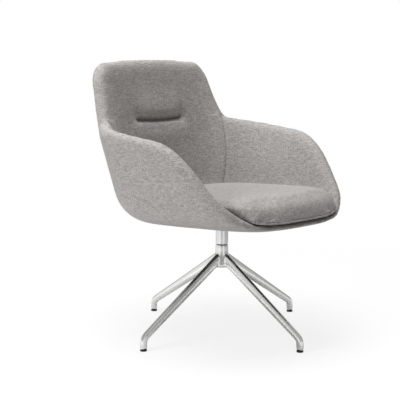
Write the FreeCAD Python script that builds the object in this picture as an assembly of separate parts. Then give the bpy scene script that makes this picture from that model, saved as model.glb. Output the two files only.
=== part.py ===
import FreeCAD, Part
import math
import os
from FreeCAD import Vector

# Visitor chair: an upholstered tub seat that swivels on a cast star base with four legs.
# Millimetres, +Z up, the sitter faces -Y, and the origin is on the floor under the swivel axis.

# Seat height and stance
pan_height = 351.5
seat_tilt = 3.25
column_height = 113.5
foot_circle_radius = 320.0

# Star base
leg_count = 4
leg_width = 18.0
leg_crest_width = 8.0
leg_sole_width = 10.0
leg_depth_at_hub = 33.0
leg_depth_at_foot = 22.0
leg_ridge_share = 0.55
leg_root_overlap = 4.0
elbow_inner_radius = 10.0
elbow_height = 24.5
hub_drop = 35.0
hub_radius = 25.0
hub_neck_rise = 8.0
post_radius = 19.0

# Glides
glide_height = 4.0
glide_radius = 10.0
glide_pin_radius = 3.0
glide_pin_length = 16.0
glide_pin_seat = 2.0

# Spindle in the hub, screwed from below
spindle_radius = 10.0
spindle_thread_radius = 6.0
hub_recess_radius = 11.5
hub_recess_depth = 9.0
hub_web = 6.0
screw_radius = 5.0
screw_grip = 20.0
screw_head_radius = 8.0
screw_head_height = 6.0
screw_socket_width = 8.0
screw_socket_depth = 3.5
screw_washer_radius = 10.5
washer_thickness = 1.6
plug_flange_radius = 15.0
plug_flange_height = 2.0
plug_skirt_wall = 1.4
plug_skirt_height = 3.0

# Swivel column
running_clearance = 0.05
fixed_clearance = 0.02
thread_clearance = 0.1
tube_length = 69.0
tube_wall = 4.0
thrust_washer_height = 1.0
thrust_washer_inset = 1.0
bush_length = 18.0
end_play = 0.4
nut_washer_radius = 13.5
nut_across_flats = 19.0
nut_height = 8.0
nut_headroom = 4.0
thread_end = 1.0

# Mounting plate on the tube
plate_size = 160.0
plate_thickness = 5.0
plate_corner_radius = 12.0
plate_bore_radius = 13.0
bolt_spacing = 124.0
bolt_radius = 4.0
bolt_across_flats = 13.0
bolt_head_height = 5.3
bolt_washer_radius = 8.0
tee_barrel_radius = 5.2
tee_flange_radius = 9.5
tee_flange_height = 1.6

# Plan of the tub's flat pan, a rounded rectangle by formula
plan_half_width = 169.5
plan_back = 219.5
plan_front = 272.0
plan_middle = -39.0
plan_back_power = 4.9
plan_front_power = 4.0

# Walls of the tub: lean in degrees, thickness with the cover
wall_bottom_radius = 117.0
back_lean = 12.0
side_lean = 12.8
front_lean = 68.0
corner_lean = 2.1
back_thickness = 48.0
side_thickness = 34.0
lip_thickness = 15.0
lip_thinning = 1.7
lip_flare = 1.25
lip_rise = 2.0

# Rim line over the pan: the back seen from the front, the arms from the side, the lip from the front
back_rise = 475.5
back_arch = 12.0
back_shoulder = 229.0
back_taper = 0.21
back_corner_blend = 110.0
arm_rear_y = 200.0
arm_rear_rise = 278.5
arm_middle_y = -80.0
arm_middle_rise = 252.5
arm_slope_top_y = -146.0
arm_slope_top_rise = 207.5
arm_slope_foot_y = -238.0
arm_slope_foot_rise = 99.5
arm_bend_blend = 84.0
arm_back_blend = 28.0
lip_blend = 18.0
lip_middle_rise = 17.0
lip_corner_rise = 17.0
lip_corner_x = 200.0

# Sewn crease across the inner back
crease_rise = 289.5
crease_half_length = 88.0
crease_radius = 5.0
crease_sink = 3.0

# Core moulding inside the upholstery, and the foam floor on it
core_wall = 8.0
core_outer_foam_share = 0.35
core_pan = 10.0
core_pan_share = 0.86
floor_height = 11.5
floor_share = 0.8
soft_clearance = 0.3

# Seat board and its screws
board_thickness = 8.0
board_front_inset = 18.0
board_wall_gap = 9.0
board_screw_radius = 2.5
board_screw_head_radius = 5.0
board_screw_head_height = 3.0
board_screw_grip = 6.0
board_screw_x = 90.0
board_screw_rear_y = 85.0
board_screw_front_y = -200.0

# Cushion
cushion_edge_height = 82.0
cushion_crown = 19.0
cushion_front_inset = 0.0
cushion_front_roll = 24.0
cushion_fullest_share = 0.2
cushion_wall_gap = 3.5
cushion_wall_roll = 10.0
cushion_middle_share = 0.08
cushion_edge_blend = 8.0
cushion_hem_inset = 12.0
cushion_hem_gap = 4.0
cushion_hem_lift = 18.0
cushion_hem_drop = 9.0

# Underside cover and its screws
cover_thickness = 2.5
cover_share = 0.96
cover_plate_gap = 3.0
cover_screw_count = 8
cover_screw_share = 0.8
cover_screw_radius = 1.75
cover_screw_head_radius = 3.5
cover_screw_head_height = 1.8
cover_screw_grip = 7.0

# Sampling of the lofts
half_stations = 56
plan_samples = 4000
wall_rows = 8
rim_rows = 6
side_rows = 5
crown_rows = 5

tilt_slope = math.tan(math.radians(seat_tilt))
shapes = {}


def seat_plane(y):
    return pan_height - tilt_slope * (y - plan_middle)


# Heights along the swivel axis, from the plate down to the hub
plate_low = seat_plane(0.0) - plate_thickness
tube_bottom = plate_low - tube_length
post_top = tube_bottom - thrust_washer_height
tube_bore = post_radius - tube_wall
nut_top = plate_low - nut_headroom
nut_low = nut_top - nut_height
shoulder = nut_low - washer_thickness
upper_bush_low = shoulder - end_play - bush_length
leg_root_height = pan_height - column_height
hub_bottom = leg_root_height - hub_drop
spindle_seat = hub_bottom + hub_recess_depth + hub_web
screw_top = spindle_seat + screw_grip
board_low = floor_height + soft_clearance
cushion_low = board_low + board_thickness + soft_clearance


def cylinder(radius, low, high, x=0.0, y=0.0):
    return Part.makeCylinder(radius, high - low, Vector(x, y, low))


def tube(outer, inner, low, high, x=0.0, y=0.0):
    return cylinder(outer, low, high, x, y).cut(cylinder(inner, low, high, x, y))


def hexagon(across_flats, low, high, x=0.0, y=0.0):
    corner = across_flats / math.sqrt(3.0)
    turns = [k * math.pi / 3 for k in range(7)]
    points = [Vector(x + corner * math.cos(a), y + corner * math.sin(a), low) for a in turns]
    return Part.Face(Part.makePolygon(points)).extrude(Vector(0, 0, high - low))


def fuse(pieces):
    return pieces[0].fuse(pieces[1:]).removeSplitter()


def on_seat(shape):
    placed = shape.copy()
    placed.rotate(Vector(0, 0, 0), Vector(1, 0, 0), -seat_tilt)
    placed.translate(Vector(0, 0, seat_plane(0.0)))
    return placed


def smooth_max(a, b, blend):
    share = min(max(0.5 + 0.5 * (a - b) / blend, 0.0), 1.0)
    return b + (a - b) * share + blend * share * (1.0 - share)


def smooth_min(a, b, blend):
    return -smooth_max(-a, -b, blend)


def signed_power(value, power):
    return math.copysign(abs(value) ** power, value)


# Star base: a hub with four ridged legs, each bent down into its foot

def leg_section(depth, middle, upward):
    ridge = (leg_ridge_share - 0.5) * depth
    outline = [(-leg_sole_width / 2, -depth / 2), (leg_sole_width / 2, -depth / 2),
               (leg_width / 2, ridge), (leg_crest_width / 2, depth / 2),
               (-leg_crest_width / 2, depth / 2), (-leg_width / 2, ridge)]
    points = [middle + Vector(0, side, 0) + upward * height for side, height in outline]
    return Part.makePolygon(points + points[:1])


def find_leg_slope(centre, bend):
    slope = 0.0
    for _ in range(30):
        end = centre + Vector(math.sin(slope), 0, math.cos(slope)) * bend
        slope = math.atan2(leg_root_height - end.z, end.x)
    return slope


def make_leg():
    bend = elbow_inner_radius + leg_depth_at_foot / 2
    centre = Vector(foot_circle_radius - bend, 0, elbow_height)
    slope = find_leg_slope(centre, bend)
    upward = Vector(math.sin(slope), 0, math.cos(slope))
    elbow_end = centre + upward * bend
    root_x = post_radius - leg_root_overlap
    root = Vector(root_x, 0, leg_root_height - root_x * math.tan(slope))
    near_foot = leg_section(leg_depth_at_foot, elbow_end, upward)
    beam = Part.makeLoft([leg_section(leg_depth_at_hub, root, upward), near_foot], True, True)
    elbow = Part.Face(near_foot).revolve(centre, Vector(0, 1, 0), 90.0 - math.degrees(slope))
    ankle = leg_section(leg_depth_at_foot, Vector(foot_circle_radius, 0, elbow_height), Vector(1, 0, 0))
    foot = Part.Face(ankle).extrude(Vector(0, 0, glide_height - elbow_height))
    return fuse([beam, elbow, foot])


def make_hub():
    neck = leg_root_height + hub_neck_rise
    outline = [Vector(0, 0, hub_bottom), Vector(hub_radius, 0, hub_bottom), Vector(post_radius, 0, neck),
               Vector(post_radius, 0, post_top), Vector(0, 0, post_top), Vector(0, 0, hub_bottom)]
    return Part.Face(Part.makePolygon(outline)).revolve(Vector(0, 0, 0), Vector(0, 0, 1), 360)


def foot_places():
    turns = [2 * math.pi * k / leg_count for k in range(leg_count)]
    return [(foot_circle_radius * math.cos(a), foot_circle_radius * math.sin(a)) for a in turns]


def make_star_base():
    leg = make_leg()
    legs = []
    for k in range(leg_count):
        turned = leg.copy()
        turned.rotate(Vector(0, 0, 0), Vector(0, 0, 1), 360.0 * k / leg_count)
        legs.append(turned)
    holes = [cylinder(hub_recess_radius, hub_bottom, hub_bottom + hub_recess_depth),
             cylinder(screw_radius + fixed_clearance, hub_bottom, spindle_seat),
             cylinder(spindle_radius + fixed_clearance, spindle_seat, post_top)]
    pin_top = glide_height - glide_pin_seat + glide_pin_length
    for x, y in foot_places():
        holes.append(cylinder(glide_pin_radius + fixed_clearance, glide_height, pin_top, x, y))
    shapes["star_base"] = fuse([make_hub()] + legs).cut(holes)


def make_glides():
    pins = []
    pin_low = glide_height - glide_pin_seat
    for name, (x, y) in zip(["left", "rear", "right", "front"], foot_places()):
        seat = cylinder(glide_pin_radius, pin_low, glide_height, x, y)
        shapes["glide_" + name] = cylinder(glide_radius, 0.0, glide_height, x, y).cut(seat)
        pins.append(cylinder(glide_pin_radius, pin_low, pin_low + glide_pin_length, x, y))
    shapes["glide_pins"] = Part.makeCompound(pins)


# Swivel: a fixed spindle in the hub, and the seat's tube with two bushes turning on it

def make_spindle():
    shaft = cylinder(spindle_radius, spindle_seat, shoulder)
    thread = cylinder(spindle_thread_radius, shoulder, nut_top + thread_end)
    tapped = cylinder(screw_radius + thread_clearance, spindle_seat, screw_top + thread_end)
    shapes["spindle"] = fuse([shaft, thread]).cut(tapped)
    nut_bore = spindle_thread_radius + thread_clearance
    shapes["nut_washer"] = tube(nut_washer_radius, nut_bore, shoulder, nut_low)
    nut = hexagon(nut_across_flats, nut_low, nut_top)
    shapes["spindle_nut"] = nut.cut(cylinder(nut_bore, nut_low, nut_top))


def make_spindle_screw():
    washer_top = hub_bottom + hub_recess_depth
    washer_low = washer_top - washer_thickness
    head_low = washer_low - screw_head_height
    head = cylinder(screw_head_radius, head_low, washer_low)
    shank = cylinder(screw_radius - thread_clearance, washer_low, screw_top)
    socket = hexagon(screw_socket_width, head_low, head_low + screw_socket_depth)
    shapes["spindle_screw"] = fuse([head, shank]).cut(socket)
    shapes["screw_washer"] = tube(screw_washer_radius, screw_radius, washer_low, washer_top)


def make_hub_plug():
    flange = cylinder(plug_flange_radius, hub_bottom - plug_flange_height, hub_bottom)
    skirt_radius = hub_recess_radius - fixed_clearance
    skirt = tube(skirt_radius, skirt_radius - plug_skirt_wall, hub_bottom, hub_bottom + plug_skirt_height)
    shapes["hub_plug"] = fuse([flange, skirt])


def make_bush(low):
    return tube(tube_bore - fixed_clearance, spindle_radius + running_clearance, low, low + bush_length)


def make_swivel_tube():
    washer_radius = post_radius - thrust_washer_inset
    shapes["thrust_washer"] = tube(washer_radius, spindle_radius + thread_clearance, post_top, tube_bottom)
    over_plate = Part.makeBox(plate_size, plate_size, tube_length,
                              Vector(-plate_size / 2, -plate_size / 2, -plate_thickness))
    tall = tube(post_radius, tube_bore, tube_bottom, plate_low + post_radius)
    shapes["swivel_tube"] = tall.cut(on_seat(over_plate))
    shapes["lower_bush"] = make_bush(tube_bottom)
    shapes["upper_bush"] = make_bush(upper_bush_low)


# Mounting plate and its fasteners, built on the level and tilted with the pan

def rounded_slab(size, corner, low, high):
    block = Part.makeBox(size, size, high - low, Vector(-size / 2, -size / 2, low))
    upright = [edge for edge in block.Edges if abs(edge.tangentAt(edge.FirstParameter).z) > 0.9]
    return block.makeFillet(corner, upright)


def bolt_places():
    half = bolt_spacing / 2
    return [(half, half), (-half, half), (-half, -half), (half, -half)]


def make_mount_plate():
    plate = rounded_slab(plate_size, plate_corner_radius, -plate_thickness, 0.0)
    holes = [cylinder(plate_bore_radius, -plate_thickness, 0.0)]
    for x, y in bolt_places():
        holes.append(cylinder(bolt_radius + thread_clearance, -plate_thickness, 0.0, x, y))
    shapes["mount_plate"] = on_seat(plate.cut(holes))


def make_plate_fasteners():
    washer_low = -plate_thickness - washer_thickness
    head_low = washer_low - bolt_head_height
    bore = bolt_radius + thread_clearance
    bolts = []
    washers = []
    nuts = []
    for x, y in bolt_places():
        head = hexagon(bolt_across_flats, head_low, washer_low, x, y)
        bolts.append(fuse([head, cylinder(bolt_radius, washer_low, core_pan, x, y)]))
        washers.append(tube(bolt_washer_radius, bore, washer_low, -plate_thickness, x, y))
        barrel = cylinder(tee_barrel_radius, 0.0, core_pan, x, y)
        flange = cylinder(tee_flange_radius, core_pan - tee_flange_height, core_pan, x, y)
        nuts.append(fuse([barrel, flange]).cut(cylinder(bore, 0.0, core_pan, x, y)))
    shapes["plate_bolts"] = on_seat(Part.makeCompound(bolts))
    shapes["plate_washers"] = on_seat(Part.makeCompound(washers))
    shapes["tee_nuts"] = on_seat(Part.makeCompound(nuts))


# Tub: stations round the plan, each with its wall from the pan up to the rim

def plan_point(turn):
    sine = math.sin(turn)
    cosine = math.cos(turn)
    depth = plan_back if cosine > 0 else plan_front
    power = 2.0 / (plan_back_power if cosine > 0 else plan_front_power)
    x = plan_half_width * signed_power(sine, power)
    y = depth * signed_power(cosine, power)
    across = signed_power(sine, 2.0 - power) / plan_half_width
    along = signed_power(cosine, 2.0 - power) / depth
    length = math.hypot(across, along)
    return x, plan_middle + y, across / length, along / length


def back_rim(x):
    crown = back_rise - back_arch * (x / back_shoulder) ** 2
    edge = back_rise - back_arch - (abs(x) - back_shoulder) / back_taper
    return pan_height + smooth_min(crown, edge, back_corner_blend)


def line_rise(y, y_a, rise_a, y_b, rise_b):
    return rise_a + (y - y_a) * (rise_b - rise_a) / (y_b - y_a)


def lip_smile(x):
    return lip_corner_rise * (x / lip_corner_x) ** 2


def front_rim(x, y):
    top = line_rise(y, arm_rear_y, arm_rear_rise, arm_middle_y, arm_middle_rise)
    slope = line_rise(y, arm_slope_top_y, arm_slope_top_rise, arm_slope_foot_y, arm_slope_foot_rise)
    lip = lip_middle_rise + lip_smile(x)
    return pan_height + smooth_max(smooth_min(top, slope, arm_bend_blend), lip, lip_blend)


class Station:
    def __init__(self, turn):
        self.x, self.y, self.nx, self.ny = plan_point(turn)
        self.behind = turn < math.pi / 2
        back = max(self.ny, 0.0) ** 2
        front = min(lip_flare * max(-self.ny, 0.0), 1.0) ** 2
        side = 1.0 - back - front
        corner = 4.0 * back * side * corner_lean
        self.lean = math.radians(back_lean * back + side_lean * side + front_lean * front + corner)
        thin = min(lip_thinning * max(-self.ny, 0.0), 1.0) ** 2
        padded = back_thickness * back + side_thickness * (1.0 - back)
        self.thickness = padded + (lip_thickness - padded) * thin
        self.arc = wall_bottom_radius * (math.pi / 2 - self.lean)
        self.rim = self.find_rim()

    def wall(self, run):
        if run < self.arc:
            angle = run / wall_bottom_radius
            reach = wall_bottom_radius * math.sin(angle)
            rise = wall_bottom_radius * (1.0 - math.cos(angle))
            return reach, rise, math.sin(angle), math.cos(angle)
        over = run - self.arc
        reach = wall_bottom_radius * math.cos(self.lean) + over * math.sin(self.lean)
        rise = wall_bottom_radius * (1.0 - math.sin(self.lean)) + over * math.cos(self.lean)
        return reach, rise, math.cos(self.lean), math.sin(self.lean)

    def place(self, reach, rise):
        return Vector(self.x + reach * self.nx, self.y + reach * self.ny, seat_plane(self.y) + rise)

    def skin(self, run, depth):
        reach, rise, out, down = self.wall(run)
        return self.place(reach - depth * out, rise + depth * down)

    def roll(self, depth, radius, angle):
        reach, rise, out, down = self.wall(self.rim)
        beside = radius * math.cos(angle) - depth
        beyond = radius * math.sin(angle)
        return self.place(reach + beside * out + beyond * down, rise - beside * down + beyond * out)

    def rim_line(self, point):
        front = front_rim(point.x, point.y)
        if self.behind:
            return smooth_max(back_rim(point.x), front, arm_back_blend)
        return front

    def find_rim(self):
        low = wall_bottom_radius * math.acos(1.0 - lip_rise / wall_bottom_radius)
        high = 2.0 * back_rise
        for _ in range(40):
            middle = (low + high) / 2
            point = self.skin(middle, 0.0)
            if self.rim_line(point) > point.z + self.thickness / 2:
                low = middle
            else:
                high = middle
        return low

    def rim_reach(self):
        reach, _, out, _ = self.wall(self.rim)
        return reach + (1.0 - out) * self.thickness / 2

    def lip_top(self):
        reach, rise, out, down = self.wall(self.rim)
        inner = reach - self.thickness * out
        return rise + self.thickness * down + tilt_slope * inner * self.ny

    def inner_reach(self, rise):
        if rise < self.thickness:
            span = (1.0 - floor_share) * (self.x * self.nx + (self.y - plan_middle) * self.ny)
            slope_height = max(self.thickness - floor_height, soft_clearance)
            return -span * min((self.thickness - rise) / slope_height, 1.0)
        radius = wall_bottom_radius - self.thickness
        arc_top = wall_bottom_radius - radius * math.sin(self.lean)
        if rise < arc_top:
            return math.sqrt(radius ** 2 - (wall_bottom_radius - rise) ** 2)
        return radius * math.cos(self.lean) + (rise - arc_top) * math.tan(self.lean)


def make_stations():
    turns = [math.pi * k / plan_samples for k in range(plan_samples + 1)]
    lengths = [0.0]
    before = None
    for turn in turns:
        x, y, nx, ny = plan_point(turn)
        here = (x + wall_bottom_radius * nx, y + wall_bottom_radius * ny)
        if before:
            lengths.append(lengths[-1] + math.dist(before, here))
        before = here
    picked = []
    for k in range(half_stations + 1):
        goal = lengths[-1] * k / half_stations
        nearest = min(range(plan_samples + 1), key=lambda i: abs(lengths[i] - goal))
        picked.append(Station(turns[nearest]))
    return picked


stations = make_stations()


def closed_wire(points):
    mirrored = [Vector(-p.x, p.y, p.z) for p in points[-2:0:-1]]
    around = points + mirrored
    steps = [k / len(around) for k in range(len(around) + 1)]
    curve = Part.BSplineCurve()
    curve.interpolate(Points=around, PeriodicFlag=True, Parameters=steps)
    return Part.Wire([curve.toShape()])


def closed_solid(faces):
    shell = Part.makeShell(faces)
    shell.sewShape()
    solid = Part.makeSolid(shell)
    solid.fix(0.01, 0.01, 0.01)
    return solid


def pan_ring(share, rise):
    points = []
    for s in stations:
        y = plan_middle + (s.y - plan_middle) * share
        points.append(Vector(s.x * share, y, seat_plane(y) + rise))
    return closed_wire(points)


def wall_ring(share, depth):
    return closed_wire([s.skin(s.rim * share, depth(s)) for s in stations])


def rim_ring(step, outer_depth, inner_depth):
    points = []
    for s in stations:
        middle = (inner_depth(s) + outer_depth(s)) / 2
        points.append(s.roll(middle, middle - outer_depth(s), math.pi * step / rim_rows))
    return closed_wire(points)


def tub_solid(outer_depth, inner_depth, low_ring, floor_ring):
    shares = [(k + 1) / wall_rows for k in range(wall_rows)]
    outer = [low_ring] + [wall_ring(share, outer_depth) for share in shares]
    inner = [wall_ring(share, inner_depth) for share in reversed(shares)]
    rim = [outer[-1]] + [rim_ring(k, outer_depth, inner_depth) for k in range(1, rim_rows)] + [inner[0]]
    faces = [Part.Face(low_ring), Part.Face(floor_ring)]
    for wires in (outer, rim, inner):
        faces += Part.makeLoft(wires, False, False).Faces
    return closed_solid(faces + Part.makeLoft([inner[-1], floor_ring], False, True).Faces)


def core_depth(s):
    return (s.thickness - core_wall) * core_outer_foam_share


def core_solid(growth):
    grown_share = core_pan_share + growth / plan_half_width
    return tub_solid(lambda s: core_depth(s) - growth, lambda s: core_depth(s) + core_wall + growth,
                     pan_ring(grown_share, 0.0), pan_ring(floor_share, core_pan + growth))


def make_crease():
    middle = stations[0]
    rise = pan_height + crease_rise - seat_plane(middle.y)
    y = middle.y + middle.inner_reach(rise) + crease_sink
    start = Vector(-crease_half_length, y, pan_height + crease_rise)
    end = Vector(crease_half_length, y, pan_height + crease_rise)
    bar = Part.makeCylinder(crease_radius, 2 * crease_half_length, start, Vector(1, 0, 0))
    return fuse([bar, Part.makeSphere(crease_radius, start), Part.makeSphere(crease_radius, end)])


def board_screw_places():
    rows = (board_screw_front_y, board_screw_rear_y)
    return [(x, y) for x in (-board_screw_x, board_screw_x) for y in rows]


def cover_screw_places():
    places = []
    for k in range(cover_screw_count):
        x, y, _, _ = plan_point(2 * math.pi * (k + 0.5) / cover_screw_count)
        places.append((x * cover_screw_share, plan_middle + (y - plan_middle) * cover_screw_share))
    return places


def make_shell():
    foam = tub_solid(lambda s: 0.0, lambda s: s.thickness,
                     pan_ring(1.0, 0.0), pan_ring(floor_share, floor_height))
    cuts = [core_solid(soft_clearance), make_crease()]
    for x, y in board_screw_places():
        cuts.append(on_seat(cylinder(board_screw_radius + soft_clearance, 0.0, board_low, x, y)))
    shapes["shell_upholstery"] = foam.cut(cuts)
    holes = []
    for x, y in bolt_places():
        holes.append(cylinder(tee_barrel_radius + fixed_clearance, 0.0, core_pan, x, y))
        holes.append(cylinder(tee_flange_radius + fixed_clearance, core_pan - tee_flange_height,
                              core_pan + tee_flange_height, x, y))
    for x, y in board_screw_places():
        holes.append(cylinder(board_screw_radius + fixed_clearance, 0.0, floor_height, x, y))
        holes.append(cylinder(board_screw_head_radius + fixed_clearance, 0.0, board_screw_head_height, x, y))
    for x, y in cover_screw_places():
        holes.append(cylinder(cover_screw_radius + fixed_clearance, 0.0, cover_screw_grip, x, y))
    shapes["shell_core"] = core_solid(0.0).cut([on_seat(hole) for hole in holes])


# Seat: a board screwed down on the foam floor, and the crowned cushion on it

def seat_reach(s, level, front_inset, wall_gap):
    reach = 0.0
    for _ in range(30):
        inner = s.inner_reach(level - tilt_slope * reach * s.ny)
        goal = smooth_min(inner - wall_gap, s.rim_reach() - front_inset, cushion_edge_blend)
        reach = (reach + goal) / 2
    return reach


def seat_ring(level, front_inset, wall_gap):
    points = []
    for s in stations:
        reach = seat_reach(s, level, front_inset, wall_gap)
        y = s.y + reach * s.ny
        points.append(Vector(s.x + reach * s.nx, y, seat_plane(y) + level))
    return closed_wire(points)


def make_seat_board():
    outline = seat_ring(board_low, board_front_inset, board_wall_gap)
    board = Part.Face(outline).extrude(Vector(0, 0, board_thickness))
    holes = []
    screws = []
    tip = board_low + board_screw_grip
    for x, y in board_screw_places():
        holes.append(on_seat(cylinder(board_screw_radius + fixed_clearance, 0.0, tip, x, y)))
        head = cylinder(board_screw_head_radius, 0.0, board_screw_head_height, x, y)
        screws.append(on_seat(fuse([head, cylinder(board_screw_radius, 0.0, tip, x, y)])))
    shapes["seat_board"] = board.cut(holes)
    shapes["board_screws"] = Part.makeCompound(screws)


def cushion_side_point(s, share):
    swell = ((share - cushion_fullest_share) / (1.0 - cushion_fullest_share)) ** 2
    lift = s.lip_top() + cushion_hem_gap - cushion_low
    hem = cushion_low + min(max(lift, -cushion_hem_drop), cushion_hem_lift)
    level = hem + (cushion_edge_height - hem) * share
    reach = seat_reach(s, level, cushion_front_inset + cushion_front_roll * swell,
                       cushion_wall_gap + cushion_wall_roll * share ** 4)
    y = s.y + reach * s.ny
    return Vector(s.x + reach * s.nx, y, seat_plane(y) + level)


def make_cushion():
    sides = [[cushion_side_point(s, k / side_rows) for s in stations] for k in range(side_rows + 1)]
    crown = []
    for k in range(crown_rows + 1):
        inward = (1.0 - cushion_middle_share) * k / crown_rows
        level = cushion_edge_height + cushion_crown * (1.0 - (1.0 - inward) ** 2)
        row = []
        for p in sides[-1]:
            y = plan_middle + (p.y - plan_middle) * (1.0 - inward)
            row.append(Vector(p.x * (1.0 - inward), y, seat_plane(y) + level))
        crown.append(row)
    side_wires = [closed_wire(row) for row in sides]
    crown_wires = [side_wires[-1]] + [closed_wire(row) for row in crown[1:]]
    under = seat_ring(cushion_low, cushion_front_inset + cushion_hem_inset,
                      cushion_wall_gap + cushion_hem_inset)
    faces = Part.makeLoft(side_wires, False, False).Faces + Part.makeLoft(crown_wires, False, False).Faces
    faces += Part.makeLoft([under, side_wires[0]], False, True).Faces
    shapes["seat_cushion"] = closed_solid(faces + [Part.Face(under), Part.Face(crown_wires[-1])])


def make_underside_cover():
    sheet = Part.Face(pan_ring(cover_share, -soft_clearance)).extrude(Vector(0, 0, -cover_thickness))
    window_low = -2 * cover_thickness - soft_clearance
    window_size = plate_size + 2 * cover_plate_gap
    cuts = [on_seat(rounded_slab(window_size, plate_corner_radius, window_low, cover_thickness))]
    screws = []
    head_top = -soft_clearance - cover_thickness
    for x, y in cover_screw_places():
        cuts.append(on_seat(cylinder(cover_screw_radius + fixed_clearance, 2 * head_top, 0.0, x, y)))
        head = cylinder(cover_screw_head_radius, head_top - cover_screw_head_height, head_top, x, y)
        shank = cylinder(cover_screw_radius, head_top, cover_screw_grip, x, y)
        screws.append(on_seat(fuse([head, shank])))
    shapes["underside_cover"] = sheet.cut(cuts)
    shapes["cover_screws"] = Part.makeCompound(screws)


def write_parts():
    os.makedirs("parts", exist_ok=True)
    for name, shape in shapes.items():
        print(name, shape.isValid(), round(shape.Volume), len(shape.Solids))
        shape.exportStep("parts/" + name + ".step")


make_star_base()
make_glides()
make_spindle()
make_spindle_screw()
make_hub_plug()
make_swivel_tube()
make_mount_plate()
make_plate_fasteners()
make_shell()
make_seat_board()
make_cushion()
make_underside_cover()
write_parts()
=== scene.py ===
import math
import bmesh
import bpy
import numpy as np
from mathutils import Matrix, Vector


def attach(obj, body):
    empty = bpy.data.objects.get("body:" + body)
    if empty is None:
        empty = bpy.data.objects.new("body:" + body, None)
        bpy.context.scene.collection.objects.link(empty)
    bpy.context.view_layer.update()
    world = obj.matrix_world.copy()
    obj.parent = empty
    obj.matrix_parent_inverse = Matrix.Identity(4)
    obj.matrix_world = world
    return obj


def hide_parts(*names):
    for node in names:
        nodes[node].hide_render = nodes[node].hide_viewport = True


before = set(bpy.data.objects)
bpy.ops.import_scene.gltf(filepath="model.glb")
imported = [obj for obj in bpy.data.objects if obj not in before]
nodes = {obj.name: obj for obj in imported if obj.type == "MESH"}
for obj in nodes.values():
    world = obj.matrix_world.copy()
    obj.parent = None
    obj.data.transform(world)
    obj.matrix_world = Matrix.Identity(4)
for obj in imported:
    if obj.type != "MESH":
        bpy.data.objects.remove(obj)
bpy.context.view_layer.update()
scene = bpy.context.scene
weldDistance = 0.00002
tinyLength = 1e-9
print("frame loaded:", len(nodes), "nodes")

cameraSet = {"place": (-2.1379, -2.1379, 0.8664), "yaw": -43.72, "pitch": 8.607, "lens": 90.0, "sensor": 36.0}


def makeCamera():
    data = bpy.data.cameras.new("photoCamera")
    data.lens = cameraSet["lens"]
    data.sensor_width = cameraSet["sensor"]
    cam = bpy.data.objects.new("photoCamera", data)
    cam.location = cameraSet["place"]
    cam.rotation_euler = (math.radians(90.0 - cameraSet["pitch"]), 0.0, math.radians(cameraSet["yaw"]))
    scene.collection.objects.link(cam)
    scene.camera = cam


makeCamera()
print("camera set")


class Val:  # a shader socket that takes part in Python sums
    def __init__(self, tree, socket):
        self.tree = tree
        self.socket = socket

    def calc(self, operation, a, b):
        node = self.tree.nodes.new("ShaderNodeMath")
        node.operation = operation
        for socket, value in zip(node.inputs, (a, b)):
            plug(self.tree, socket, value)
        return Val(self.tree, node.outputs[0])

    def __add__(self, other):
        return self.calc("ADD", self, other)

    def __sub__(self, other):
        return self.calc("SUBTRACT", self, other)

    def __rsub__(self, other):
        return self.calc("SUBTRACT", other, self)

    def __mul__(self, other):
        return self.calc("MULTIPLY", self, other)


def plug(tree, socket, value):
    if isinstance(value, Val):
        tree.links.new(value.socket, socket)
    else:
        socket.default_value = value


class Graph:  # the shader nodes of a material or a world
    def __init__(self, owner, outKind):
        owner.use_nodes = True
        self.tree = owner.node_tree
        self.tree.nodes.clear()
        self.out = self.tree.nodes.new(outKind)

    def add(self, kind, settings=None, inputs=None, out=0):
        node = self.tree.nodes.new(kind)
        for key, value in (settings or {}).items():
            if key == "stops":
                for element, (place, colour) in zip(node.color_ramp.elements, value):
                    element.position = place
                    element.color = colour
            else:
                setattr(node, key, value)
        for key, value in (inputs or {}).items():
            plug(self.tree, node.inputs[key], value)
        return Val(self.tree, node.outputs[out])

    def noise(self, coords, scale, detail=3.0, rough=0.5):
        return self.add("ShaderNodeTexNoise", None,
                        {"Vector": coords, "Scale": scale, "Detail": detail, "Roughness": rough}, "Fac")

    def stretched(self, coords, size):
        return self.add("ShaderNodeMapping", None, {"Vector": coords, "Scale": size})

    def bump(self, height, strength, depth):
        return self.add("ShaderNodeBump", None, {"Height": height, "Strength": strength, "Distance": depth},
                        "Normal")

    def end(self, shader):
        self.tree.links.new(shader.socket, self.out.inputs["Surface"])


class Finish(Graph):  # one material
    def __init__(self, name):
        self.mat = bpy.data.materials.new(name)
        super().__init__(self.mat, "ShaderNodeOutputMaterial")

    def place(self):
        return self.add("ShaderNodeTexCoord", None, None, "Object")

    def surface(self, inputs):
        self.end(self.add("ShaderNodeBsdfPrincipled", None, inputs, "BSDF"))
        return self.mat


# seam is the dark colour of the painted shade in the seam grooves and along the crease line
woolLook = {"pale": (0.49, 0.467, 0.45, 1), "dark": (0.18, 0.171, 0.163, 1), "seam": (0.085, 0.08, 0.076, 1),
            "darkAt": 0.05, "paleAt": 0.95, "paintedShadeShare": 0.8, "rough": 0.94, "sheen": 0.2, "shine": 0.2,
            "sheenRough": 0.5, "fleckDetail": 4.0, "fleckRough": 0.7, "weaveShare": 0.5,
            "fleck": 330.0, "thread": 420.0, "slub": 40.0, "threadLong": 0.14, "threadDetail": 2.0,
            "fleckShare": 1.3, "warpShare": 1.0, "weftShare": 1.1, "slubShare": 0.12,
            "bump": 0.45, "bumpDepth": 0.0015}


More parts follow.
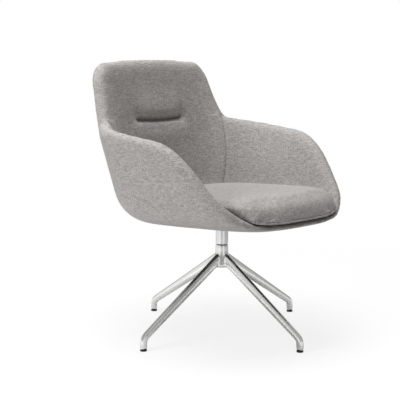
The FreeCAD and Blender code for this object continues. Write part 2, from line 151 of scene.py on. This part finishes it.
def makeWool(name):
    look = woolLook
    f = Finish(name)
    place = f.place()
    cloth = f.add("ShaderNodeAttribute", {"attribute_name": "cloth"}, None, "Vector")
    longer = look["threadLong"]
    warp = f.noise(f.stretched(cloth, (1.0, 1.0, longer)), look["thread"], look["threadDetail"])
    weft = f.noise(f.stretched(cloth, (longer, longer, 1.0)), look["thread"], look["threadDetail"])
    fleck = f.noise(place, look["fleck"], look["fleckDetail"], look["fleckRough"])
    slub = f.noise(place, look["slub"])
    mixed = ((fleck - 0.5) * look["fleckShare"] + (warp - 0.5) * look["warpShare"]
             + (weft - 0.5) * look["weftShare"] + (slub - 0.5) * look["slubShare"] + 0.5)
    stops = [(look["darkAt"], look["dark"]), (look["paleAt"], look["pale"])]
    yarn = f.add("ShaderNodeValToRGB", {"stops": stops}, {"Fac": mixed}, "Color")
    # painted shade: the seam attribute pulls the yarn colour toward the seam colour in the seam grooves and
    # along the crease line
    seam = f.add("ShaderNodeAttribute", {"attribute_name": "seam"}, None, "Fac")
    colour = f.add("ShaderNodeMix", {"data_type": "RGBA"},
                   {0: seam * look["paintedShadeShare"], 6: yarn, 7: look["seam"]}, 2)
    share = look["weaveShare"]
    weave = warp * share + weft * share + fleck * share
    return f.surface({"Base Color": colour, "Roughness": look["rough"],
                      "Normal": f.bump(weave, look["bump"], look["bumpDepth"]), "Sheen Weight": look["sheen"],
                      "Sheen Roughness": look["sheenRough"], "Specular IOR Level": look["shine"]})


hazeLook = {"size": 38.0, "detail": 4.0, "rough": 0.6}
polishLooks = {"polishedCasting": {"colour": (0.80, 0.80, 0.79, 1), "smooth": 0.13, "cloudy": 0.12},
               "satinTube": {"colour": (0.78, 0.78, 0.78, 1), "smooth": 0.16, "cloudy": 0.10}}


def makePolish(name):
    look = polishLooks[name]
    f = Finish(name)
    haze = f.noise(f.place(), hazeLook["size"], hazeLook["detail"], hazeLook["rough"])
    return f.surface({"Base Color": look["colour"], "Metallic": 1.0,
                      "Roughness": haze * look["cloudy"] + look["smooth"]})


dustLook = {"size": 30.0, "detail": 4.0, "darkAt": 0.3, "paleAt": 0.75, "rough": 0.2,
            "bump": 0.25, "bumpDepth": 0.0004}
mouldedLooks = {
    "zincPlate": {"dark": (0.50, 0.50, 0.48, 1), "pale": (0.62, 0.62, 0.60, 1), "rough": 0.28,
                  "grain": 700.0},
    "blackNylon": {"dark": (0.018, 0.018, 0.018, 1), "pale": (0.035, 0.035, 0.034, 1), "rough": 0.45,
                   "grain": 900.0},
    # a near-black seat board, which also gives the dark gap under the cushion's front edge
    "darkBoard": {"dark": (0.012, 0.012, 0.011, 1), "pale": (0.022, 0.021, 0.02, 1), "rough": 0.6,
                   "grain": 300.0},
    "coverGrain": {"dark": (0.012, 0.012, 0.012, 1), "pale": (0.025, 0.025, 0.025, 1), "rough": 0.55,
                   "grain": 800.0},
    "powderBlack": {"dark": (0.02, 0.02, 0.02, 1), "pale": (0.035, 0.035, 0.035, 1), "rough": 0.4,
                    "grain": 1100.0},
    "acetal": {"dark": (0.62, 0.61, 0.57, 1), "pale": (0.72, 0.71, 0.68, 1), "rough": 0.35, "grain": 500.0}}


def makeMoulded(name):
    look = mouldedLooks[name]
    f = Finish(name)
    place = f.place()
    grain = f.noise(place, look["grain"])
    dust = f.noise(place, dustLook["size"], dustLook["detail"])
    stops = [(dustLook["darkAt"], look["dark"]), (dustLook["paleAt"], look["pale"])]
    colour = f.add("ShaderNodeValToRGB", {"stops": stops}, {"Fac": dust}, "Color")
    metal = 1.0 if name == "zincPlate" else 0.0
    return f.surface({"Base Color": colour, "Metallic": metal,
                      "Roughness": dust * dustLook["rough"] + look["rough"],
                      "Normal": f.bump(grain, dustLook["bump"], dustLook["bumpDepth"])})


wool = makeWool("melangeWool")
finishes = {name: makePolish(name) for name in polishLooks}
finishes.update({name: makeMoulded(name) for name in mouldedLooks})
print("finishes made")

nodeFinish = {"star_base": "polishedCasting", "swivel_tube": "satinTube", "mount_plate": "powderBlack",
              "underside_cover": "coverGrain", "seat_board": "darkBoard"}
blackNodes = ["glide_left", "glide_rear", "glide_right", "glide_front", "hub_plug", "shell_core"]
nodeFinish.update(dict.fromkeys(blackNodes, "blackNylon"))
nodeFinish.update(dict.fromkeys(["thrust_washer", "lower_bush", "upper_bush"], "acetal"))
for name, node in nodes.items():
    node.data.materials.clear()
    node.data.materials.append(finishes[nodeFinish.get(name, "zincPlate")])


def weldedMesh(sources):
    bm = bmesh.new()
    for source in sources:
        bm.from_mesh(nodes[source].data)
    bmesh.ops.remove_doubles(bm, verts=bm.verts, dist=weldDistance)
    return bm


def joinedCopy(name, sources):
    bm = weldedMesh(sources)
    mesh = bpy.data.meshes.new(name)
    bm.to_mesh(mesh)
    bm.free()
    obj = bpy.data.objects.new(name, mesh)
    scene.collection.objects.link(obj)
    return obj


def bake(obj):  # puts what the modifiers give into the mesh
    graph = bpy.context.evaluated_depsgraph_get()
    graph.update()
    mesh = bpy.data.meshes.new_from_object(obj.evaluated_get(graph))
    obj.modifiers.clear()
    old = obj.data
    obj.data = mesh
    bpy.data.meshes.remove(old)


def voxelSkin(obj, size):
    mod = obj.modifiers.new("skin", "REMESH")
    mod.mode = "VOXEL"
    mod.voxel_size = size
    mod.adaptivity = 0.0
    bake(obj)


def keepOuter(obj):  # drops the small islands left inside
    bm = bmesh.new()
    bm.from_mesh(obj.data)
    seen = set()
    best = []
    for start in bm.verts:
        if start in seen:
            continue
        island = [start]
        seen.add(start)
        for vert in island:
            for edge in vert.link_edges:
                other = edge.other_vert(vert)
                if other not in seen:
                    seen.add(other)
                    island.append(other)
        if len(island) > len(best):
            best = island
    keep = set(best)
    bmesh.ops.delete(bm, geom=[v for v in bm.verts if v not in keep], context="VERTS")
    bm.to_mesh(obj.data)
    bm.free()


def readVertices(obj, kind):
    flat = np.zeros(len(obj.data.vertices) * 3)
    obj.data.vertices.foreach_get(kind, flat)
    return flat.reshape(-1, 3)


def readPoints(obj):
    return readVertices(obj, "co")


def readNormals(obj):
    return readVertices(obj, "normal")


def writePoints(obj, points):
    obj.data.vertices.foreach_set("co", points.astype(np.float32).ravel())
    obj.data.update()


def pushOut(obj, depth):  # depth is a number, or one for each point
    points = readPoints(obj)
    writePoints(obj, points + readNormals(obj) * np.broadcast_to(depth, len(points))[:, None])


def smoothSkin(obj, rounds, share):  # share is a number, or one for each point
    ends = np.zeros(len(obj.data.edges) * 2, dtype=int)
    obj.data.edges.foreach_get("vertices", ends)
    a, b = ends.reshape(-1, 2).T
    points = readPoints(obj)
    count = len(points)
    links = np.bincount(a, minlength=count) + np.bincount(b, minlength=count)
    weight = np.broadcast_to(share, count)[:, None]
    for _ in range(rounds):
        total = np.stack([np.bincount(a, points[b, k], count) + np.bincount(b, points[a, k], count)
                          for k in range(3)], -1)
        points = points + weight * (total / links[:, None] - points)
    writePoints(obj, points)


def finerSkin(obj):
    mod = obj.modifiers.new("finer", "SUBSURF")
    mod.levels = 1
    mod.render_levels = 1
    bake(obj)


def paintedShadeMark(obj, values):  # how strongly painted shade darkens the wool at each point, in the seam grooves and along the crease line
    mark = obj.data.attributes.new("seam", "FLOAT", "POINT")
    mark.data.foreach_set("value", values.astype(np.float32))


def clothMap(obj, spots):  # where each point lies on the cloth, with the third number along the warp
    layer = obj.data.attributes.new("cloth", "FLOAT_VECTOR", "POINT")
    layer.data.foreach_set("vector", spots.astype(np.float32).ravel())


def dress(obj, finish):
    obj.data.materials.clear()
    obj.data.materials.append(finish)
    obj.data.polygons.foreach_set("use_smooth", [True] * len(obj.data.polygons))


def finishSoft(obj, replaced):
    dress(obj, wool)
    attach(obj, "seat")
    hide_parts(*replaced)


def easeOut(value, start, end):
    t = np.clip((value - start) / (end - start), 0, 1)
    return t * t * (3 - 2 * t)


flatTop = 4  # the power of a bell with a flat top


def bell(value, width, power=2):
    return np.exp(-(value / width) ** power)


# A pair is a start and an end, or a reach above and below the crease.
tub = {"voxel": 0.006, "rounds": 24, "fill": 0.0022, "padding": 0.9,
       "thinShare": 0.14, "moreShare": 0.41, "thickUp": (0.42, 0.54), "thickBack": (-0.16, 0.0),
       "facing": (0.2, 0.6), "backFrom": 0.12,
       "crease": {"height": 0.641, "middle": 0.004, "half": 0.09, "depth": 0.011, "droop": 0.004, "droopTo": 1.2,
                  "fade": (0.9, 1.14), "reach": (0.0042, 0.010), "line": 0.0026, "paintedShade": 0.8},
       "roll": {"rise": 0.034, "full": 0.0065, "reach": (0.060, 0.024), "width": 1.2, "from": -0.004},
       "under": {"drop": 0.05, "full": 0.004, "reach": 0.034, "width": 1.4},
       "dimple": {"place": 1.06, "depth": 0.005, "width": 0.013, "reach": (0.042, 0.016)},
       "seam": {"depth": 0.0024, "width": 0.0022, "low": (0.40, 0.42), "high": (0.643, 0.655), "paintedShade": 0.35,
                "across": (0.77, 0.64), "offset": 0.028, "bow": 0.013, "bowed": (0.415, 0.641),
                "full": 0.0026, "fullAway": 0.02, "fullWidth": 0.016,
                "facing": -0.1, "outFrom": 0.15, "backFrom": 0.1},
       "corner": {"full": 0.006, "out": (0.12, 0.2), "height": 0.775, "reach": 0.035, "backFrom": 0.1}}


def creaseShape(points, normals):  # the sewn crease across the back, and the padding round it
    crease, roll, under, dimple = tub["crease"], tub["roll"], tub["under"], tub["dimple"]
    x, y, z = points.T
    inward = easeOut(-normals[:, 1], *tub["facing"]) * (y > tub["backFrom"])
    off = np.abs(x - crease["middle"])
    side = off / crease["half"]
    up = z - crease["height"] - crease["droop"] * np.minimum(side, crease["droopTo"]) ** 2
    window = 1 - easeOut(side, *crease["fade"])
    pinch = bell(up, np.where(up > 0, *crease["reach"])) * window
    swell = bell(up - roll["rise"], np.where(up > roll["rise"], *roll["reach"]))
    swell = swell * bell(side, roll["width"], flatTop) * (up > roll["from"])
    belly = bell(up + under["drop"], under["reach"]) * bell(side, under["width"], flatTop)
    ends = bell(off - crease["half"] * dimple["place"], dimple["width"])
    ends = ends * bell(up, np.where(up > 0, *dimple["reach"]))
    move = roll["full"] * swell + under["full"] * belly - crease["depth"] * pinch - dimple["depth"] * ends
    # the second value is the painted shade along the crease line, under the overhanging fold
    return inward * move, bell(up, crease["line"]) * window * inward


def seamShape(points, normals):  # the two seams between the back and the arms
    seam = tub["seam"]
    x, y, z = points.T
    low, high = seam["bowed"]
    bow = seam["bow"] * np.sin(math.pi * np.clip((z - low) / (high - low), 0, 1))
    away = seam["across"][0] * np.abs(x) - seam["across"][1] * y - (seam["offset"] + bow)
    inner = (normals[:, 0] * np.sign(x) < seam["facing"]) & (np.abs(x) > seam["outFrom"])
    inner = inner & (y > seam["backFrom"])
    along = easeOut(z, *seam["low"]) * (1 - easeOut(z, *seam["high"])) * inner
    groove = bell(away, seam["width"]) * along
    full = bell(np.abs(away) - seam["fullAway"], seam["fullWidth"]) * along
    # groove also sets the painted shade in the seam grooves
    return seam["full"] * full - seam["depth"] * groove, groove


def cornerShape(points):  # fuller top corners of the back
    corner = tub["corner"]
    x, y, z = points.T
    share = easeOut(np.abs(x), *corner["out"]) * bell(z - corner["height"], corner["reach"])
    share = share * (y > corner["backFrom"])
    return np.outer(np.sign(x) * share * corner["full"], (1, 0, 0))


def makeTub():
    replaced = ["shell_upholstery", "shell_core"]
    skin = joinedCopy("tubUpholstery", replaced)
    voxelSkin(skin, tub["voxel"])
    keepOuter(skin)
    points = readPoints(skin)
    padded = np.maximum(easeOut(points[:, 2], *tub["thickUp"]), easeOut(points[:, 1], *tub["thickBack"]))
    thick = tub["thinShare"] + tub["moreShare"] * padded
    smoothSkin(skin, tub["rounds"], thick)
    pushOut(skin, thick * tub["fill"] / (tub["thinShare"] + tub["moreShare"]))
    finerSkin(skin)
    points, normals = readPoints(skin), readNormals(skin)
    creasePush, line = creaseShape(points, normals)
    seamPush, groove = seamShape(points, normals)
    shape = points + cornerShape(points) + normals * (creasePush + seamPush)[:, None]
    writePoints(skin, shape)
    # painted shade: darkens the wool in the seam grooves and along the crease line
    paintedShadeMark(skin, np.maximum(groove * tub["seam"]["paintedShade"], line * tub["crease"]["paintedShade"]))
    clothMap(skin, shape)
    finishSoft(skin, replaced)
    print("tub:", len(skin.data.polygons), "faces")


makeTub()

cushion = {"voxel": 0.005, "rounds": 4, "share": 0.5, "padding": 0.8, "middle": -0.039, "tilt": 3.25,
           "frontRounds": 140, "front": (0.12, 0.24), "frontUp": (0.014, 0.034), "heldUp": 0.004,
           "pressure": 4.0, "frames": 20, "cap": 0.005, "start": 0.001, "warpDown": 0.7,
           "welt": 0.0026, "weltIn": 0.0012, "weltUp": 0.0016, "hemAngle": 0.5, "hemUp": 0.03, "hemBins": 90,
           "hemRounds": 3, "weltSides": 3, "weltOrder": 4, "weltSteps": 3}
slope = math.tan(math.radians(cushion["tilt"]))


def seatLevel(y, z):  # height over the tilted plane of the seat
    return z + slope * (y - cushion["middle"])


def clothSwell(obj, settings, pinned):
    group = obj.vertex_groups.new(name="held")
    group.add([int(i) for i in np.flatnonzero(pinned)], 1.0, "REPLACE")
    mod = obj.modifiers.new("swell", "CLOTH")
    mod.settings.use_pressure = True
    mod.settings.uniform_pressure_force = settings["pressure"]
    mod.settings.effector_weights.gravity = 0.0
    mod.settings.vertex_group_mass = "held"
    mod.collision_settings.use_collision = False
    mod.point_cache.frame_start = 1
    mod.point_cache.frame_end = settings["frames"]
    before = readPoints(obj)
    for step in range(1, settings["frames"] + 1):
        scene.frame_set(step)
    bake(obj)
    scene.frame_set(1)
    move = readPoints(obj) - before
    length = np.linalg.norm(move, axis=1)
    capped = np.minimum(length, settings["cap"])
    writePoints(obj, before + move * (capped / np.maximum(length, tinyLength))[:, None])
    obj.vertex_groups.clear()


def makeCushion():  # gives back the lowest level of the cushion
    skin = joinedCopy("seatCushion", ["seat_cushion"])
    voxelSkin(skin, cushion["voxel"])
    smoothSkin(skin, cushion["rounds"], cushion["share"])
    points = readPoints(skin)
    level = seatLevel(points[:, 1], points[:, 2])
    lowest = level.min()
    held = level < lowest + cushion["heldUp"]
    front = easeOut(-points[:, 1], *cushion["front"]) * easeOut(level - lowest, *cushion["frontUp"])
    smoothSkin(skin, cushion["frontRounds"], cushion["share"] * front)
    pushOut(skin, np.where(held, 0.0, -cushion["start"]))
    clothSwell(skin, cushion, held)
    finerSkin(skin)
    x, y, z = readPoints(skin).T
    clothMap(skin, np.stack([x, x * 0, y + z * cushion["warpDown"]], -1))
    paintedShadeMark(skin, np.zeros(len(x)))
    finishSoft(skin, ["seat_cushion"])
    print("cushion:", len(skin.data.polygons), "faces")
    return lowest


def hemLine(lowest):  # the lower outer edge of the cushion solid, one point to each bin of the turn
    bm = weldedMesh(["seat_cushion"])
    found = {}
    for edge in bm.edges:
        if len(edge.link_faces) != 2 or edge.calc_face_angle(0.0) <= cushion["hemAngle"]:
            continue
        spot = (edge.verts[0].co + edge.verts[1].co) / 2
        if seatLevel(spot.y, spot.z) > lowest + cushion["hemUp"]:
            continue
        behind = spot.y - cushion["middle"]
        away = math.hypot(spot.x, behind)
        cell = int((math.atan2(spot.x, behind) / math.pi + 1.0) * cushion["hemBins"])
        if cell not in found or away > found[cell][0]:
            found[cell] = (away, spot.copy())
    bm.free()
    line = np.array([found[cell][1] for cell in sorted(found)])
    for _ in range(cushion["hemRounds"]):
        line = (np.roll(line, 1, 0) + 2 * line + np.roll(line, -1, 0)) / 4
    return line


def makeWelt(lowest):
    line = hemLine(lowest)
    outward = (line - np.array([0.0, cushion["middle"], 0.0])) * (1, 1, 0)
    outward = outward / np.linalg.norm(outward, axis=1)[:, None]
    line = line - outward * cushion["weltIn"] + np.array([0, 0, cushion["weltUp"]])
    curve = bpy.data.curves.new("hemWelt", "CURVE")
    curve.dimensions = "3D"
    curve.bevel_depth = cushion["welt"]
    curve.bevel_resolution = cushion["weltSides"]
    spline = curve.splines.new("NURBS")
    spline.points.add(len(line) - 1)
    for point, spot in zip(spline.points, line):
        point.co = (*spot, 1.0)
    spline.order_u = cushion["weltOrder"]
    spline.use_cyclic_u = True
    spline.resolution_u = cushion["weltSteps"]
    draft = bpy.data.objects.new("hemWeltLine", curve)
    scene.collection.objects.link(draft)
    graph = bpy.context.evaluated_depsgraph_get()
    mesh = bpy.data.meshes.new_from_object(draft.evaluated_get(graph))
    bpy.data.objects.remove(draft)
    welt = bpy.data.objects.new("hemWelt", mesh)
    scene.collection.objects.link(welt)
    clothMap(welt, readPoints(welt))
    paintedShadeMark(welt, np.zeros(len(mesh.vertices)))
    dress(welt, wool)
    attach(welt, "seat")
    print("welt:", len(mesh.polygons), "faces")


makeWelt(makeCushion())

casting = {"voxel": 0.0018, "rounds": 30, "share": 0.5, "fill": 0.001}


def makeCasting():
    cast = joinedCopy("castBase", ["star_base"])
    voxelSkin(cast, casting["voxel"])
    keepOuter(cast)
    smoothSkin(cast, casting["rounds"], casting["share"])
    pushOut(cast, casting["fill"])
    dress(cast, finishes["polishedCasting"])
    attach(cast, "base")
    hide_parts("star_base")
    print("casting:", len(cast.data.polygons), "faces")


makeCasting()

floorSet = {"radius": 6.0, "sides": 96, "clear": 0.5, "gone": 1.9, "pale": 0.82, "colour": (0.9, 0.9, 0.9, 1)}


def makeFloor():
    bm = bmesh.new()
    bmesh.ops.create_circle(bm, cap_ends=True, segments=floorSet["sides"], radius=floorSet["radius"])
    mesh = bpy.data.meshes.new("studioFloor")
    bm.to_mesh(mesh)
    bm.free()
    floor = bpy.data.objects.new("studioFloor", mesh)
    scene.collection.objects.link(floor)
    f = Finish("paleFloor")
    away = f.add("ShaderNodeVectorMath", {"operation": "LENGTH"}, {0: f.place()}, "Value")
    edge = f.add("ShaderNodeMapRange", {"interpolation_type": "SMOOTHSTEP"},
                 {"Value": away, "From Min": floorSet["clear"], "From Max": floorSet["gone"]}, "Result")
    seen = f.add("ShaderNodeLightPath", None, None, "Is Camera Ray")
    matt = f.add("ShaderNodeBsdfDiffuse", None, {"Color": floorSet["colour"]}, "BSDF")
    glow = f.add("ShaderNodeEmission", None, {"Color": (1, 1, 1, 1), "Strength": 1.0}, "Emission")
    clear = f.add("ShaderNodeBsdfTransparent", None, None, "BSDF")
    lit = f.add("ShaderNodeMixShader", None, {0: seen * floorSet["pale"], 1: matt, 2: glow}, "Shader")
    f.end(f.add("ShaderNodeMixShader", None, {0: edge, 1: lit, 2: clear}, "Shader"))
    mesh.materials.append(f.mat)


worldSet = {"ambient": 0.18, "backdrop": 0.82, "mirror": 0.16, "glint": 0.62, "swing": (5.0, 3.0),
            "duskFrom": 0.12, "duskTo": 0.45, "dusk": 0.6}


def makeWorld():  # white to the camera, dim to the cloth, and streaked in the polished metal
    world = bpy.data.worlds.new("studioWorld")
    w = Graph(world, "ShaderNodeOutputWorld")
    seen, shiny, through = (w.add("ShaderNodeLightPath", None, None, "Is " + kind + " Ray")
                            for kind in ("Camera", "Glossy", "Transmission"))
    aim = w.add("ShaderNodeTexCoord", None, None, "Generated")
    across, along, height = (w.add("ShaderNodeSeparateXYZ", None, {0: aim}, axis) for axis in "XYZ")
    dusk = w.add("ShaderNodeMapRange", {"interpolation_type": "SMOOTHSTEP"},
                 {"Value": height, "From Min": worldSet["duskFrom"], "From Max": worldSet["duskTo"]}, "Result")
    swing = across * worldSet["swing"][0] - along * worldSet["swing"][1]
    streak = swing.calc("SINE", swing, 0.0)
    glint = (streak * 0.5 + 0.5) * (1.0 - dusk * worldSet["dusk"])
    backdrop = seen.calc("MINIMUM", seen + through, 1.0) * worldSet["backdrop"]
    level = backdrop + shiny * (glint * worldSet["glint"] + worldSet["mirror"]) + worldSet["ambient"]
    w.end(w.add("ShaderNodeBackground", None, {"Color": (1, 1, 1, 1), "Strength": level}))
    scene.world = world


lights = [{"name": "keyPanel", "place": (-3.0, 0.45, 1.45), "aim": (0, 0, 0.5), "size": 1.8, "power": 68.0},
          {"name": "topPanel", "place": (-0.1, 0.25, 3.3), "aim": (0, 0, 0.4), "size": 2.4, "power": 112.0}]


def makeLights():
    for spec in lights:
        data = bpy.data.lights.new(spec["name"], "AREA")
        data.shape = "DISK"
        data.size = spec["size"]
        data.energy = spec["power"]
        lamp = bpy.data.objects.new(spec["name"], data)
        lamp.location = spec["place"]
        lamp.visible_glossy = False
        lamp.rotation_euler = (Vector(spec["place"]) - Vector(spec["aim"])).to_track_quat("Z", "Y").to_euler()
        scene.collection.objects.link(lamp)


makeFloor()
makeWorld()
makeLights()
scene.view_settings.view_transform = "Standard"
print("studio set")
